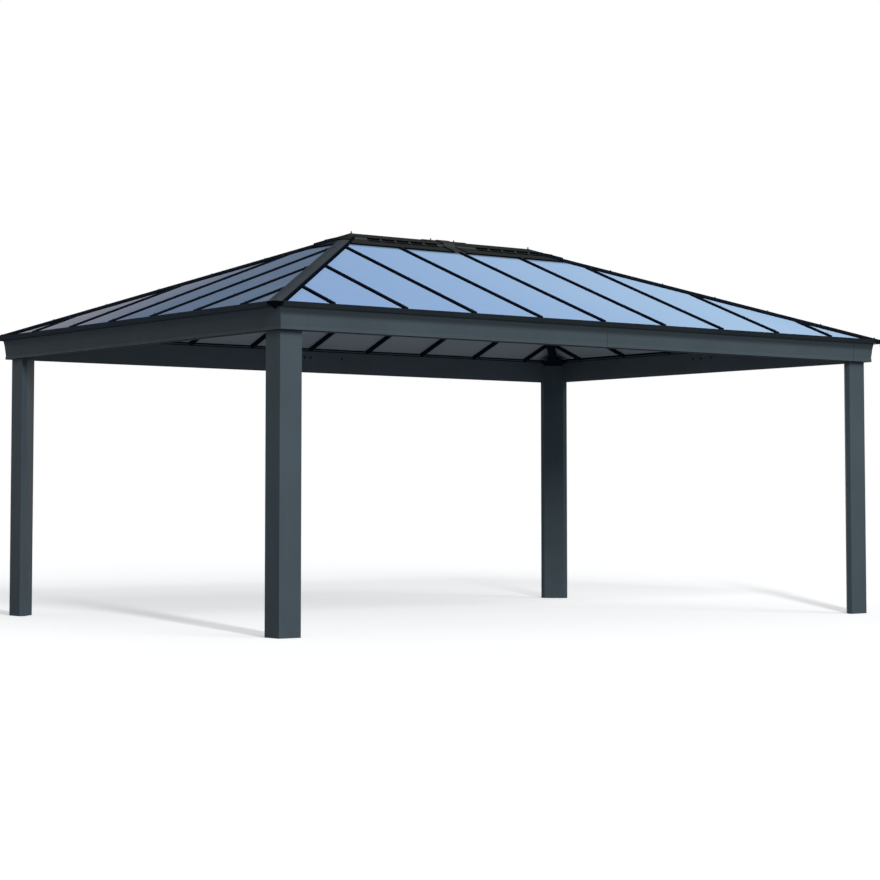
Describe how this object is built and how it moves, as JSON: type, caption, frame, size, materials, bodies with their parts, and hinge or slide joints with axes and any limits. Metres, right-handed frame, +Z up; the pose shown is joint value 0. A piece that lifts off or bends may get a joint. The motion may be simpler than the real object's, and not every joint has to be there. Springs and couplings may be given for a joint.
{
  "type": "hardtop metal gazebo with a hipped roof",
  "caption": "Open metal gazebo: pentagonal slate posts, box beams and fascias, a hipped roof of blue-grey sheets in dark glazing bars, hip caps and a slotted ridge vent.",
  "frame": {"origin": "on the ground at the centre of the four posts", "axes": "+Z up, +X along the long side to the right, -Y the front"},
  "size_m": [6.2032, 4.3132, 3.131],
  "materials": {
    "slate_paint": "satin",
    "charcoal_paint": "satin",
    "black_paint": "satin",
    "roof_sheet": "semi-gloss",
    "zinc_steel": "dull zinc"
  },
  "bodies": {
    "root": {"post_front_left": "slate_paint", "post_front_right": "slate_paint", "post_back_left": "slate_paint", "post_back_right": "slate_paint", "foot_plates": "zinc_steel", "post_brackets": "black_paint", "front_beam": "slate_paint", "back_beam": "slate_paint", "left_beam": "slate_paint", "right_beam": "slate_paint", "front_fascia_left": "slate_paint", "front_fascia_right": "slate_paint", "back_fascia_left": "slate_paint", "back_fascia_right": "slate_paint", "left_fascia": "slate_paint", "right_fascia": "slate_paint", "fascia_corners": "slate_paint", "front_eave_trim": "black_paint", "back_eave_trim": "black_paint", "left_eave_trim": "black_paint", "right_eave_trim": "black_paint", "front_roof_sheets": "roof_sheet", "back_roof_sheets": "roof_sheet", "left_roof_sheets": "roof_sheet", "right_roof_sheets": "roof_sheet", "front_glazing_bars": "black_paint", "back_glazing_bars": "black_paint", "left_glazing_bars": "black_paint", "right_glazing_bars": "black_paint", "hip_rafter_front_left": "black_paint", "hip_rafter_front_right": "black_paint", "hip_rafter_back_left": "black_paint", "hip_rafter_back_right": "black_paint", "hip_cap_front_left": "charcoal_paint", "hip_cap_front_right": "charcoal_paint", "hip_cap_back_left": "charcoal_paint", "hip_cap_back_right": "charcoal_paint", "hip_end_caps": "black_paint", "ridge_beam": "black_paint", "vent_skirt": "charcoal_paint", "vent_riser": "charcoal_paint", "vent_hood_left": "charcoal_paint", "vent_hood_right": "charcoal_paint", "vent_joiner": "charcoal_paint"}
  },
  "joints": []
}
